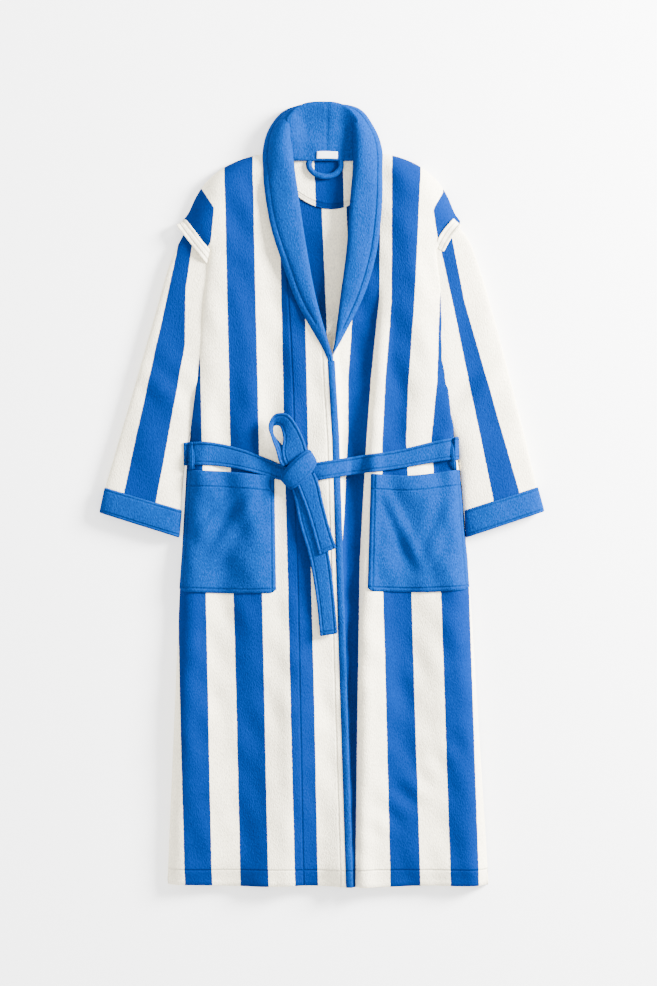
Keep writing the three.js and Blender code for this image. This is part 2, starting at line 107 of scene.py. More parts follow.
def swell(x, y, size, seed):
    """Soft bumps about size across, from about -1 to 1, the same at every run."""
    rng = np.random.default_rng(seed)
    total = 0
    for _ in range(7):
        angle, phase, rate = rng.uniform(0, math.tau), rng.uniform(0, math.tau), rng.uniform(0.6, 1.5)
        total = total + np.sin(math.pi * rate / size * (x * np.cos(angle) + y * np.sin(angle)) + phase)
    return total / 3.2


def hump(value, middle, reach):
    """1 at the middle, falling to 0 at reach on either side."""
    return 1 - ramp(np.abs(value - middle), 0, reach)


def rounded(inward, reach):
    """The rise of a rounded border: 0 at the edge, 1 from reach inward."""
    t = np.clip(inward / reach, 0, 1)
    return np.sqrt(1 - (1 - t) ** 2)


def squared(t, power):
    """Pushes a sine or cosine towards 1 and -1, which makes a round section squarer."""
    return np.sign(t) * np.abs(t) ** power


# ---------------------------------------------------------------- meshes
def make_mesh(name, vertices, faces, values):
    mesh = bpy.data.meshes.new(name)
    mesh.from_pydata((np.asarray(vertices) * MM).tolist(), [], faces)
    for key, numbers in values.items():
        mesh.attributes.new(key, "FLOAT", "POINT").data.foreach_set("value", np.asarray(numbers, np.float32))
    tidy = bmesh.new()
    tidy.from_mesh(mesh)
    bmesh.ops.recalc_face_normals(tidy, faces=tidy.faces)
    tidy.to_mesh(mesh)
    tidy.free()
    mesh.shade_smooth()
    thing = bpy.data.objects.new(name, mesh)
    bpy.context.scene.collection.objects.link(thing)
    return thing


def cloth(name, grid, thick=CLOTH, tube=False, **values):
    """A sheet with round edges through a grid of points (rows, columns, 3). A tube's columns join up."""
    grid = np.asarray(grid, float)
    rows, columns = grid.shape[:2]
    padded = np.concatenate([grid[:, -1:], grid, grid[:, :1]], axis=1) if tube else grid
    along, across = np.gradient(padded, axis=0), np.gradient(padded, axis=1)
    if tube:
        along, across = along[:, 1:-1], across[:, 1:-1]
    normal = np.cross(across, along)
    normal /= np.linalg.norm(normal, axis=2, keepdims=True) + 1e-9
    top, under = grid + normal * thick / 2, grid - normal * thick / 2
    number = np.arange(rows * columns).reshape(rows, columns)
    if tube:
        loops = [(number[0], -along[0]), (number[-1], along[-1])]
    else:
        ring = np.concatenate([number[0, :-1], number[:-1, -1], number[-1, :0:-1], number[:0:-1, 0]])
        out = np.zeros_like(grid)
        out[0] -= along[0]
        out[-1] += along[-1]
        out[:, 0] -= across[:, 0]
        out[:, -1] += across[:, -1]
        loops = [(ring, out.reshape(-1, 3)[ring])]
    points = [top.reshape(-1, 3), under.reshape(-1, 3)]
    kept = [np.arange(rows * columns)] * 2
    faces = []
    wrap = columns if tube else columns - 1
    for side in (0, rows * columns):
        for r in range(rows - 1):
            for c in range(wrap):
                d = (c + 1) % columns
                corners = (number[r, c], number[r, d], number[r + 1, d], number[r + 1, c])
                faces.append([side + int(n) for n in corners])
    start = 2 * rows * columns
    for ring, out in loops:
        out = out / (np.linalg.norm(out, axis=1, keepdims=True) + 1e-9)
        points.append(grid.reshape(-1, 3)[ring] + out * thick * 0.45)
        kept.append(ring)
        for k in range(len(ring)):
            n = (k + 1) % len(ring)
            a, b = int(ring[k]), int(ring[n])
            faces.append([a, b, start + n, start + k])
            faces.append([start + k, start + n, rows * columns + b, rows * columns + a])
        start += len(ring)
    kept = np.concatenate(kept)
    values = {key: np.broadcast_to(v, (rows, columns)).reshape(-1)[kept] for key, v in values.items()}
    return make_mesh(name, np.concatenate(points), faces, values)


def loft(name, rings, **values):
    """A closed solid through rings of points (rings, around, 3)."""
    rings = np.asarray(rings, float)
    count, around = rings.shape[:2]
    faces = []
    for r in range(count - 1):
        for c in range(around):
            d = (c + 1) % around
            faces.append([r * around + c, r * around + d, (r + 1) * around + d, (r + 1) * around + c])
    faces.append(list(range(around)))
    faces.append([(count - 1) * around + c for c in range(around)])
    values = {key: np.broadcast_to(v, (count, around)).reshape(-1) for key, v in values.items()}
    return make_mesh(name, rings.reshape(-1, 3), faces, values)


# ---------------------------------------------------------------- materials
BLUE = (0.0001, 0.0275, 0.155, 1)
STRIPE_BLUE = (0.0001, 0.0165, 0.112, 1)
CREAM = (0.9, 0.825, 0.635, 1)
TAPE = (0.72, 0.74, 0.8, 1)


class Nodes:
    """A short way to write a material's nodes."""

    def __init__(self, name):
        self.material = bpy.data.materials.new(name)
        self.material.use_nodes = True
        self.tree = self.material.node_tree
        self.shader = self.tree.nodes["Principled BSDF"]

    def add(self, kind, inputs=(), **settings):
        node = self.tree.nodes.new(kind)
        for key, value in settings.items():
            setattr(node, key, value)
        for key, value in dict(inputs).items():
            self.give(node.inputs[key], value)
        return node

    def give(self, socket, value):
        if isinstance(value, bpy.types.NodeSocket):
            self.tree.links.new(value, socket)
        elif socket.type == "VECTOR":
            socket.default_value = tuple(value)[:3]
        else:
            socket.default_value = value

    def math(self, operation, a, b=0.0, c=0.0):
        return self.add("ShaderNodeMath", {0: a, 1: b, 2: c}, operation=operation).outputs[0]

    def step(self, value, low, high, to_low=0.0, to_high=1.0):
        inputs = {0: value, 1: low, 2: high, 3: to_low, 4: to_high}
        return self.add("ShaderNodeMapRange", inputs, interpolation_type="SMOOTHSTEP").outputs[0]

    def noise(self, where, scale, detail=2.0):
        inputs = {"Vector": where, "Scale": scale, "Detail": detail}
        return self.add("ShaderNodeTexNoise", inputs).outputs["Fac"]

    def blend(self, factor, a, b):
        node = self.add("ShaderNodeMix", data_type="RGBA")
        self.give(node.inputs["Factor"], factor)
        self.give(node.inputs["A"], a)
        self.give(node.inputs["B"], b)
        return node.outputs["Result"]

    def attribute(self, name):
        return self.add("ShaderNodeAttribute", attribute_name=name).outputs["Fac"]


def terry(name, colour, second=None, fleck=1.7):
    """Looped pile: soft clumps, fine loops, a heathered colour, and seams where the mesh says so, darkened partly
    by painted shade.
    """
    n = Nodes(name)
    where = n.add("ShaderNodeTexCoord").outputs["Object"]
    grain = n.add("ShaderNodeMapping", {"Vector": where, "Scale": (1.0, 0.45, 1.0)}).outputs[0]
    loops = n.add("ShaderNodeTexVoronoi", {"Vector": grain, "Scale": 620.0}).outputs["Distance"]
    tufts = n.noise(grain, 620.0, 3.0)
    clumps = n.noise(where, 42.0, 3.0)
    shade = n.noise(where, 9.0, 2.0)
    base = colour
    if second:
        ragged = n.math("MULTIPLY_ADD", n.math("SUBTRACT", tufts, 0.5), 2.4, n.attribute("stripe"))
        base = n.blend(n.step(ragged, -0.5, 0.5), second, colour)
    light = n.math("MULTIPLY_ADD", n.math("SUBTRACT", tufts, 0.5), fleck, 1.0)
    light = n.math("MULTIPLY_ADD", n.math("SUBTRACT", clumps, 0.5), 0.16, light)
    light = n.math("MULTIPLY_ADD", n.math("SUBTRACT", shade, 0.5), 0.16, light)
    height = n.math("MULTIPLY_ADD", loops, -0.8, n.math("MULTIPLY", tufts, 1.2))
    across, along = (n.math("ABSOLUTE", n.attribute(key)) for key in ("seam_u", "seam_v"))
    near = n.math("MINIMUM", across, along)
    # Painted shade together with the stitching's own colour: the colour darkens to 0.74 along each seam line,
    # standing in for shade in the seam's groove.
    light = n.math("MULTIPLY", light, n.step(near, 0.2, 1.7, 0.74, 1.0))
    height = n.math("MULTIPLY_ADD", n.step(near, 0.35, 2.4), 2.2, height)
    tone = n.add("ShaderNodeVectorMath", operation="SCALE")
    n.give(tone.inputs[0], base)
    n.give(tone.inputs["Scale"], light)
    n.give(n.shader.inputs["Base Color"], tone.outputs[0])
    bump = n.add("ShaderNodeBump", {"Height": height, "Strength": 0.55, "Distance": 0.0011})
    n.give(n.shader.inputs["Normal"], bump.outputs[0])
    n.shader.inputs["Roughness"].default_value = 0.95
    n.shader.inputs["Specular IOR Level"].default_value = 0.015
    n.shader.inputs["Sheen Weight"].default_value = 0.01
    n.shader.inputs["Sheen Roughness"].default_value = 0.45
    n.shader.inputs["Sheen Tint"].default_value = tuple(lerp(1.0, c, 0.75) for c in colour[:3]) + (1,)
    return n.material


STRIPED = terry("striped_terry", STRIPE_BLUE, CREAM, fleck=0.9)
BLUE_TERRY = terry("blue_terry", BLUE)
CREAM_TERRY = terry("cream_terry", CREAM, fleck=0.4)


def tape_material():
    """Smooth ribbed tape."""
    n = Nodes("label_tape")
    where = n.add("ShaderNodeTexCoord").outputs["Object"]
    wave = {"Vector": where, "Scale": 420.0, "Distortion": 0.4}
    ribs = n.add("ShaderNodeTexWave", wave, bands_direction="Y")
    weave = n.math("MULTIPLY_ADD", ribs.outputs["Fac"], 0.12, n.math("MULTIPLY", n.noise(where, 900.0), 0.2))
    tone = n.add("ShaderNodeVectorMath", operation="SCALE")
    n.give(tone.inputs[0], TAPE)
    n.give(tone.inputs["Scale"], n.math("ADD", weave, 0.84))
    n.give(n.shader.inputs["Base Color"], tone.outputs[0])
    bump = n.add("ShaderNodeBump", {"Height": weave, "Strength": 0.4, "Distance": 0.0003})
    n.give(n.shader.inputs["Normal"], bump.outputs[0])
    n.shader.inputs["Roughness"].default_value = 0.6
    return n.material


LABEL_TAPE = tape_material()


# ---------------------------------------------------------------- outline of the body, by y
SIDE = {
    -1: [(HEM_Y, -250), (-163, -230), (38, -219), (82, -214), (232, -196), (313, -190), (395, -181),
         (443, -226)],
    1: [(HEM_Y, 270), (-163, 240), (38, 224), (90, 216), (127, 208), (251, 195), (330, 191), (395, 183),
        (443, 224)],
}
CROWN = [(0, 545), (50, 549), (97, 552), (114, 549), (140, 541), (160, 531), (181, 515), (195, 499),
         (207, 478), (215, 459), (227, 441)]
BEND_FROM, TIP_ROW = 313, 443  # rows of the body are straight up to the first and follow the crown at the second
SHOULDER_HALF, NECK_HALF = 226, 68
FREE_EDGE = {
    -1: [(TIP_Y[-1] + 44, 18.5), (174, 21.5), (90, 26.5), (HEM_Y, 49)],
    1: [(TIP_Y[1] + 4, 12), (HEM_Y, -38)],
}
EDGE_STRIP = 8  # width of the plain strip in view along a free edge


def side_x(side, y):
    """Where a front ends at its outer side."""
    return np.interp(y, *np.array(SIDE[side]).T)


def free_x(side, y):
    """Where a front ends at the robe's opening."""
    return np.interp(y, *np.array(sorted(FREE_EDGE[side])).T)


def crown_y(x):
    """The shoulder line."""
    return through(CROWN, np.abs(x))


ROLL = {
    -1: [(TIP_Y[-1] + 44, 15), (320, -10), (400, -25), (478, -37), (544, -46), (606, -48)],
    1: [(TIP_Y[1] + 4, 17), (304, 28), (397, 40), (471, 45), (509, 50), (546, 48)],
}
LAPEL = {
    -1: [(TIP_Y[-1], 20), (236, 0), (307, -40), (375, -65), (437, -84), (509, -95), (552, -96)],
    1: [(TIP_Y[1], 18), (258, 37), (320, 68), (382, 87), (447, 96), (509, 99), (568, 96)],
}


def inner_x(side, y):
    """Where a front ends: at its edge strip below the lapel's tip, and under the collar above it."""
    low = free_x(side, y) + side * EDGE_STRIP * 0.8
    high = lerp(through(ROLL[side], y), through(LAPEL[side], y), 0.45)
    return lerp(low, high, ramp(y, TIP_Y[side], TIP_Y[side] + 60))


# ---------------------------------------------------------------- how the cloth lies
BELT_Y, BELT_BACK_Y = 66, 69


def folds(x, y):
    """How far the fronts stand above or below their level: hanging folds, a cinched waist, wrinkles."""
    cinch = hump(y, BELT_Y, 46)
    spread = np.exp(-np.abs(y - BELT_Y) / 150)
    calm = 1 - 0.75 * hump(x, 8, 105) * hump(y, -110, 190)
    hanging = 4.2 * np.sin((x + 0.05 * y) / 24 + 1.1 * np.sin(y / 190)) * ramp(np.abs(y - BELT_Y), 0, 120)
    gathered = 3.8 * spread * np.sin(x / 11 + 0.5 * np.sin(y / 40)) * (1 - 0.5 * cinch)
    broad = 2.6 * swell(x, 0.4 * y, 62, 3) + 1.2 * swell(x, y, 30, 11)
    creased = 2.4 * hump(x - 0.9 * (y + 480), 150, 60) * hump(y, -500, 130) * np.sin((x + y) / 9)
    return (hanging + gathered + broad + creased) * calm - 3.0 * cinch


LAP_RISE = (-74, -48)  # where, across the robe, the over front climbs onto the under one


def level(side, x):
    """The height of a front before its folds."""
    if side > 0:
        return np.full_like(np.asarray(x, float), UNDER_TOP)
    return lerp(UNDER_TOP, OVER_TOP, ramp(x, *LAP_RISE))


def valley(x, y):
    """The under front sinks beside the lap and rises again in a sharp fold."""
    wall = through([(HEM_Y, 57), (-108, 66), (87, 76), (184, 84), (330, 97)], y)
    lap = free_x(-1, y)
    sunk = ramp(x, lap - 2, lap + 8) * (1 - ramp(x, wall - 5, wall + 3))
    crest = hump(x, wall + 12, 16)
    fade = 1 - ramp(y, 250, 360)
    return (-13 * sunk + 3.2 * crest) * fade


SIDE_ROUND, CROWN_ROUND = 30, 34
SIDE_SEAM, ARM_SEAM, CROWN_SEAM = 5.5, 21.5, 7.0  # heights of the seams at the sides, sleeves and shoulders
LOWEST_FRONT = 5.9


def body_top(side, x, y, crown_gap=FAR):
    """Height of a front's upper face over a point of the plan; crown_gap is how far below the crown it is."""
    seam = lerp(SIDE_SEAM, ARM_SEAM, ramp(y, 88, 116) * (1 - ramp(y, 428, 448)))
    inward = np.abs(side_x(side, y) - x)
    crown = rounded(crown_gap, CROWN_ROUND)
    flat = level(side, x) + folds(x, y) + (valley(x, y) if side > 0 else 0)
    border = np.where(crown_gap < CROWN_ROUND, lerp(CROWN_SEAM, seam, crown), seam)
    return lerp(border, flat, rounded(inward, SIDE_ROUND) * crown)


STRIPES = {
    -1: [[(HEM_Y, x), (520, x - 26)] for x in (-262, -222)]
    + [[(HEM_Y, -178), (241, -197), (385, -201), (404, -180), (462, -174), (497, -196), (520, -215)]]
    + [[(HEM_Y, x), (520, x - 26)] for x in (-132, -86, -44, -6)],
    1: [
        [(HEM_Y, 10), (-108, 30), (87, 42), (184, 42), (330, 52)],
        [(HEM_Y, 55), (-108, 63), (87, 74), (184, 81), (313, 94), (552, 96)],
        [(HEM_Y, 111), (-108, 97), (87, 97), (184, 102), (313, 113), (552, 114)],
        [(HEM_Y, 160), (-108, 144), (87, 137), (184, 141), (313, 150), (552, 161)],
        [(HEM_Y, 209), (-108, 191), (87, 177), (184, 186), (313, 190), (392, 196), (405, 188), (461, 180),
         (487, 195), (505, 197)],
        [(HEM_Y, 254), (-108, 236), (87, 212), (184, 226), (552, 240)],
    ],
}


def stripe_value(x, y, lines, first_blue):
    """Distance to the nearest stripe edge, positive in the blue. first_blue: blue lies left of the first line."""
    gaps = np.stack([x - np.interp(y, *np.array(sorted(line), float).T) for line in lines])
    nearest = np.abs(gaps).min(axis=0)
    crossed = (gaps > 0).sum(axis=0) + (1 if first_blue else 0)
    return np.where(crossed % 2 == 1, nearest, -nearest)


# ---------------------------------------------------------------- back panel and fronts
def body_rows(side_rows, columns):
    """Plan points for straight rows that bend up to the shoulder line at the top."""
    lift = np.clip((side_rows - BEND_FROM) / (TIP_ROW - BEND_FROM), 0, 1)[:, None]
    return side_rows[:, None] + lift * (crown_y(columns)[None, :] - TIP_ROW)


def row_places():
    """Rows up the body's side, closer together towards the shoulder."""
    low = np.linspace(HEM_Y, BEND_FROM, 150)
    high = BEND_FROM + (TIP_ROW - BEND_FROM) * np.sin(np.linspace(0, math.pi / 2, 34))[1:]
    return np.concatenate([low, high])


def near_hem(y):
    return ramp(y, HEM_Y + 34, HEM_Y)


def hem_seam(y):
    """Distance from the hem's stitching."""
    return y - (HEM_Y + 27)


def hem_drop(x, y):
    """The hem lies lower than the cloth above it."""
    return near_hem(y) * (5 + 2.5 * swell(x, 0 * x, 60, 8))


def hem_wave(x):
    """How far up the cut edge of the hem bends."""
    return 1.6 * swell(x, 0 * x, 120, 21) + 3 * np.abs(x) / 260


def back_panel():
    """The layer the robe lies on, raised over the belt behind it and under the collar."""
    rows = row_places()
    half = np.concatenate([np.linspace(0, 0.9, 24), 0.9 + 0.1 * np.sin(np.linspace(0, math.pi / 2, 7))[1:]])
    shares = np.concatenate([-half[:0:-1], half])
    y = body_rows(rows, SHOULDER_HALF * shares) - 2.5 * ramp(rows, BEND_FROM, TIP_ROW)[:, None]
    x = np.where(shares < 0, -side_x(-1, rows)[:, None] * shares, side_x(1, rows)[:, None] * shares)
    belt = np.clip(1 - (np.abs(y - BELT_Y) - 24) / 30, 0, 1)
    neck = ramp(y, 400, 440) * (1 - ramp(np.abs(x), 97, 140))
    crumple = 0.6 * np.abs(swell(x, 0.5 * y, 55, 5)) * (1 - belt)
    z = 2.0 + 3.8 * belt + 5.3 * neck + crumple
    lines = [[(HEM_Y, 44 * k + 8), (270, 44 * k * 0.94 + 8), (462, 44 * k * 0.9)] for k in range(-6, 7)]
    return cloth("back_panel_cloth", np.stack([x, y + hem_wave(x) * ramp(y, -500, HEM_Y), z], axis=2),
                 stripe=stripe_value(x, y, lines, True), seam_u=FAR, seam_v=hem_seam(y))


FACING_SEAM = [(HEM_Y, -30), (-108, -40), (184, -47), (360, -56), (420, -75)]


def front(side):
    """One front from shoulder to hem, rounded down to the side seam and the shoulder line."""
    rows = row_places()
    curl = 1 - np.cos(np.linspace(0, math.pi / 2, 9))
    shares = np.concatenate([0.1 * curl, np.linspace(0.1, 1, 42)[1:]])
    outer, inner = side_x(side, rows)[:, None], inner_x(side, rows)[:, None]
    x = outer + (inner - outer) * shares
    crown = side * lerp(SHOULDER_HALF, NECK_HALF, shares)
    y = body_rows(rows, crown)
    gap = (crown_y(crown)[None, :] - y) + 0 * x
    top = body_top(side, x, y, gap)
    hem = near_hem(y)
    z = np.maximum(top - CLOTH / 2 - hem_drop(x, y), LOWEST_FRONT)
    seam_u = FAR
    if side < 0:
        seam_u = x - np.interp(y, *np.array(FACING_SEAM, float).T)
        lap = np.abs(x - free_x(side, y)) - 18
        seam_u = np.where(np.abs(lap) < np.abs(seam_u), lap, seam_u)
    points = np.stack([x, y + hem_wave(x) * hem, z], axis=2)
    return cloth(f"{WHO[side]}_front_cloth", points, stripe=stripe_value(x, y, STRIPES[side], side < 0),
                 seam_u=seam_u, seam_v=hem_seam(y))


def front_edge(side):
    """The rolled facing that shows along the free edge and runs on behind it."""
    y = np.linspace(HEM_Y, TIP_Y[side] + (30 if side < 0 else -8), 130)[:, None]
    out = free_x(side, y)
    reach = np.array([46, 24, 8, 2, -1, -0.5, 2.5, 6, 9.5])[None, :]
    depth = np.array([-5.4, -5.4, -5.2, -4.6, -2.2, 0.4, 1.3, 1.2, 0.4])[None, :]
    x = out + side * reach * (0.5 if side > 0 else 1)
    base = level(side, out) - (2.4 if side > 0 else 0.6) + folds(x, y) + (valley(x, y) if side > 0 else 0)
    depth = depth * (0.6 if side > 0 else 1)
    hem = near_hem(y)
    z = base + depth - hem_drop(x, y)
    points = np.stack([x, y + 0 * x + hem_wave(out) * hem, z], axis=2)
    return cloth(f"{WHO[side]}_front_edge_cloth", points, 1.9, seam_u=FAR, seam_v=hem_seam(y))


# ---------------------------------------------------------------- sleeves and cuffs
SLEEVE_EDGES = {
    -1: ([(-212, 442), (-242, 383), (-267, 300), (-307, 160), (-352, 6)],
         [(-75, 339), (-108, 282), (-194, 149), (-208, 118), (-219, 85), (-224, 50), (-231, -29)]),
    1: ([(212, 442), (236, 413), (254, 367), (274, 300), (311, 160), (349, 7)],
        [(75, 339), (108, 282), (194, 149), (208, 118), (219, 85), (225, 50), (233, -30)]),
}
CUFF_ENDS = {
    -1: [(-352, 8), (-229, -28), (-360, -30), (-233, -70)],
    1: [(350, 9), (233, -28), (360, -28), (235, -70)],
}
SLEEVE_STRIPES = {
    -1: [[(420, -229), (2, -321)], [(420, -208), (330, -221), (240, -222), (-13, -269)]],
    1: [[(395, 193), (313, 211), (-10, 278)], [(420, 210), (313, 231), (3, 320)]],
}


def flat_tube(outer, inner, height, low, around):
    """Rings of a flattened tube between two edges: (rings, around, 3)."""
    angle = np.linspace(0, math.tau, around, endpoint=False)
    wide, tall = squared(np.cos(angle), 0.7), squared(np.sin(angle), 0.7)
    middle, reach = (outer + inner) / 2, (outer - inner) / 2
    plan = middle[:, None] + wide[None, :, None] * reach[:, None]
    z = low[:, None] + height[:, None] / 2 * (1 + tall[None, :])
    return np.concatenate([plan, z[:, :, None]], axis=2), np.sin(angle)[None, :] > 0


def sleeve(side):
    """A flattened tube from the armhole to the cuff, with soft bumps and elbow creases on its upper face."""
    count, around = 90, 56
    outer, inner = (points_through(edge, count) for edge in SLEEVE_EDGES[side])
    down = np.linspace(0, 1, count)
    rings, upper = flat_tube(outer, inner, lerp(14.5, 16.5, down), lerp(4.4, 3.0, down), around)
    x, y = rings[:, :, 0], rings[:, :, 1]
    crown = np.sin(np.linspace(0, math.tau, around, endpoint=False))[None, :]
    fall = y - 0.28 * side * x
    soft = 1.8 * swell(x, 0.6 * y, 42, 31 + side)
    soft += 1.4 * np.sin((fall + 0.5 * x * side) / 17) * hump(y, 120, 170)
    elbow = 2.6 * hump(fall, 110, 60) * np.sin((x * -side + 0.8 * y) / 12)
    free = ramp(y, -30, 20) * (1 - ramp(y, 310, 385))
    rings[:, :, 2] += np.where(upper, (soft + elbow) * free * crown, 0)
    return cloth(f"{WHO[side]}_sleeve_cloth", rings, 3.2, tube=True,
                 stripe=stripe_value(x, y, SLEEVE_STRIPES[side], False), seam_u=FAR, seam_v=FAR)


def cuff(side):
    """The folded-back end of a sleeve, a little fuller than the sleeve."""
    top_out, top_in, end_out, end_in = (np.array(p, float) for p in CUFF_ENDS[side])
    share = np.array([0.0, 0.06, 0.16, 0.3, 0.5, 0.7, 0.84, 0.94, 1.0])
    outer = top_out + (end_out - top_out) * share[:, None]
    inner = top_in + (end_in - top_in) * share[:, None]
    puff = np.sin(share * math.pi) ** 0.5
    rings, upper = flat_tube(outer, inner, 20.0 + 2.0 * puff, 2.4 - 0.6 * puff, 56)
    x, y = rings[:, :, 0], rings[:, :, 1]
    rings[:, :, 2] += np.where(upper, 0.8 * swell(x, y, 28, 41), 0)
    edge = (np.abs(share - 0.5) - 0.42)[:, None] * 44
    return cloth(f"{WHO[side]}_cuff_cloth", rings, 3.4, tube=True, seam_u=FAR + 0 * x, seam_v=edge + 0 * x)


# ---------------------------------------------------------------- bands: belt, loops and seams
BAND_SHARES = np.array([-1, -0.93, -0.84, -0.74, -0.5, -0.2, 0.2, 0.5, 0.74, 0.84, 0.93, 1])
STITCH_IN = 4  # from a band's edge to its stitching
BAND_PUFF = np.array([0.1, 0.9, 0.75, 0.3, 0.9, 1.0, 1.0, 0.9, 0.3, 0.75, 0.9, 0.1])


def band(name, edges, height, thick=3.0, puff=1.3, ends=(False, False), count=60):
    """A stitched band between two edge curves of the plan. height(x, y) is what it lies on."""
    one, other = (points_through(edge, count) for edge in edges)
    middle, reach = (one + other) / 2, (other - one) / 2
    plan = middle[:, None] + BAND_SHARES[None, :, None] * reach[:, None]
    x, y = plan[:, :, 0], plan[:, :, 1]
    z = height(x, y) + thick / 2 + puff * BAND_PUFF[None, :]
    half = np.linalg.norm(reach, axis=1)[:, None]
    run = np.concatenate([[0], np.cumsum(np.linalg.norm(np.diff(middle, axis=0), axis=1))])
    seam_v = np.full(count, float(FAR))
    if ends[0]:
        seam_v = np.minimum(seam_v, run - 5)
    if ends[1]:
        seam_v = np.minimum(seam_v, run[-1] - run - 5)
    return cloth(name, np.concatenate([plan, z[:, :, None]], axis=2), thick,
                 seam_u=np.abs(BAND_SHARES)[None, :] * half - (half - STITCH_IN), seam_v=seam_v[:, None])


BELT_EDGES = {
    -1: ([(-223, 82), (-190, 83), (-130, 71), (-95, 58), (-52, 40)],
         [(-223, 46), (-190, 47), (-120, 37), (-90, 29), (-58, 20)]),
    1: ([(218, 91), (180, 83), (130, 71), (60, 60), (-30, 46)],
        [(218, 57), (180, 51), (110, 39), (60, 33), (-30, 18)]),
}


LAP_END = 42


def belt_height(side):
    """What a run of the belt lies on: the over front up to the lap's end, then the under front."""
    lift = 1.2 if side > 0 else 0.6

    def height(x, y):
        under = body_top(side, x, y)
        if side > 0:
            under = np.where(x < LAP_END, body_top(-1, np.minimum(x, LAP_END), y), under)
        smooth = 0.35 * under + 0.65 * np.median(under)
        off_side = ramp(np.abs(x), 196, 226)
        return lerp(np.maximum(smooth, under) + lift, under + lift - 1.5, off_side)

    return height


def belt_run(side):
    """The belt from the side seam to the knot."""
    return band(f"belt_{WHO[side]}_run_cloth", BELT_EDGES[side], belt_height(side))


def belt_back():
    """The stretch behind the back, which wraps up both sides to meet the runs in front."""
    count = 90
    left, right = edge_of("belt_back_run", 0, 0) + 1.8, edge_of("belt_back_run", 1, 0) - 1.8
    path = points_through([(left + 6, 24), (left, 16), (left + 3, 3.4), (left + 12, 1.9), (0, 1.9),
                           (right - 12, 1.9), (right - 3, 3.4), (right, 16), (right - 6, 27)], count)
    half = 17.6
    across = BAND_SHARES[None, :] * half
    x = path[:, :1] + 0 * across
    y = BELT_BACK_Y + 0.02 * x + across
    z = np.maximum(path[:, 1:], 1.9) + 0 * across
    return cloth("belt_back_run_cloth", np.stack([x, y, z], axis=2), 3.0,
                 seam_u=np.abs(across) - (half - STITCH_IN), seam_v=FAR)


def belt_loop(side):
    """A narrow strap sewn down at both ends, with the belt passing under it."""
    t = np.linspace(0, 1, 26)
    y = lerp(38, 85 if side < 0 else 93, t)
    x = 210 + 5 * (1 - t) if side > 0 else -210 + 0 * t
    rise = np.sin(np.clip(t * 1.04, 0, 1) * math.pi) ** 0.4 * 8.4
    across = np.array([-1, -0.6, 0, 0.6, 1])[None, :] * 3.2
    base = body_top(side, x, y)
    z = base - 1.2 + 1.24 * rise
    grid = np.stack([x[:, None] + across, y[:, None] + 0 * across, z[:, None] - 0.05 * across**2], axis=2)
    return cloth(f"{WHO[side]}_belt_loop_cloth", grid, 2.2, seam_u=np.abs(across) - 1.7, seam_v=FAR)


def tail(name, edges, base, hang):
    """A loose end of the belt over a base height, which rises by hang towards the knot."""

    def height(x, y):
        return base + 0.3 * folds(x, y) + hang * ramp(y, -60, 30)

    return band(name, edges, height, thick=3.2, puff=1.0, ends=(False, True), count=50)


LONG_TAIL = ([(-50, 14), (-46, 2), (-36, -45), (-20, -101), (-8, -170), (-2, -229)],
             [(-18, 16), (-12, -2), (-3, -45), (11, -101), (19, -165), (24, -225)])
SHORT_TAIL = ([(-44, 26), (-40, 15), (-27, -19), (-14, -60), (-4, -98)],
              [(-12, 32), (-8, 22), (2, -19), (12, -56), (22, -87)])


def bow_loop():
    """A ribbon through pairs of middle and half width: flat beside the knot, on its edge at the far side."""
    middles = [(-41, 54, 38), (-45, 70, 40), (-47, 86, 41), (-52, 103, 42), (-63, 119, 41), (-77, 118, 39.5),
               (-82, 105, 38.5), (-75, 86, 37.5), (-64, 68, 37), (-55, 48, 36)]
    halves = [(17, 8, 0), (19, 6, 0), (19, 4, 0), (13.5, 6, 2), (4, 9, 5), (-4, 7, 6.5),
              (-6.5, 0, 6.5), (-9, -3, 5.0), (-10, -4, 3), (-8, -4, 2)]
    count = 70
    middle, half = points_through(middles, count), points_through(halves, count)
    grid = middle[:, None] + BAND_SHARES[None, :, None] * half[:, None]
    grid[:, :, 2] += 0.8 * BAND_PUFF[None, :]
    wide = np.linalg.norm(half, axis=1)[:, None]
    seam_u = np.abs(BAND_SHARES)[None, :] * wide - (wide - STITCH_IN)
    return cloth("belt_bow_loop_cloth", grid, 2.8, seam_u=seam_u, seam_v=FAR)


def belt_knot():
    """The wrapped turn over the knot, fat in the middle and tucked under at both ends."""
    count, around = 40, 48
    t = np.linspace(-1, 1, count)
    start, end = np.array([-60, 14.0]), np.array([-13, 62.0])
    middle = lerp(start, end, (t[:, None] + 1) / 2)
    half = points_through([(-11, 12.5), (-12.5, 13), (-12.5, 13.5), (-10, 14), (-8, 13.5)], count)
    taper = (1 - np.abs(t) ** 5) ** 0.5
    angle = np.linspace(0, math.tau, around, endpoint=False)
    across, rise = squared(np.cos(angle), 0.55), np.sin(angle)
    lump = 1 + 0.05 * np.sin(3.1 * t + 0.6)
    reach = half * (0.55 + 0.45 * taper[:, None]) * lump[:, None]
    plan = middle[:, None] + across[None, :, None] * reach[:, None]
    thick = (3.2 + 7.6 * taper) * (0.8 + 0.2 * np.cos(t * 1.1))
    crown = 43 - 4.5 * t**2
    z = crown[:, None] + rise[None, :] * thick[:, None] * (1 - 0.12 * np.abs(across)[None, :] ** 3)
    wide = np.linalg.norm(half, axis=1)[:, None]
    seam_u = np.where(rise[None, :] > 0, np.abs(across)[None, :] * wide - (wide - 4.2), FAR)
    return loft("belt_knot_cloth", np.concatenate([plan, z[:, :, None]], axis=2), seam_u=seam_u, seam_v=FAR)


BAND_LINE = {-1: [(-229, 441), (-207, 412), (-179, 377)], 1: [(220, 440), (203, 420), (190, 397)]}


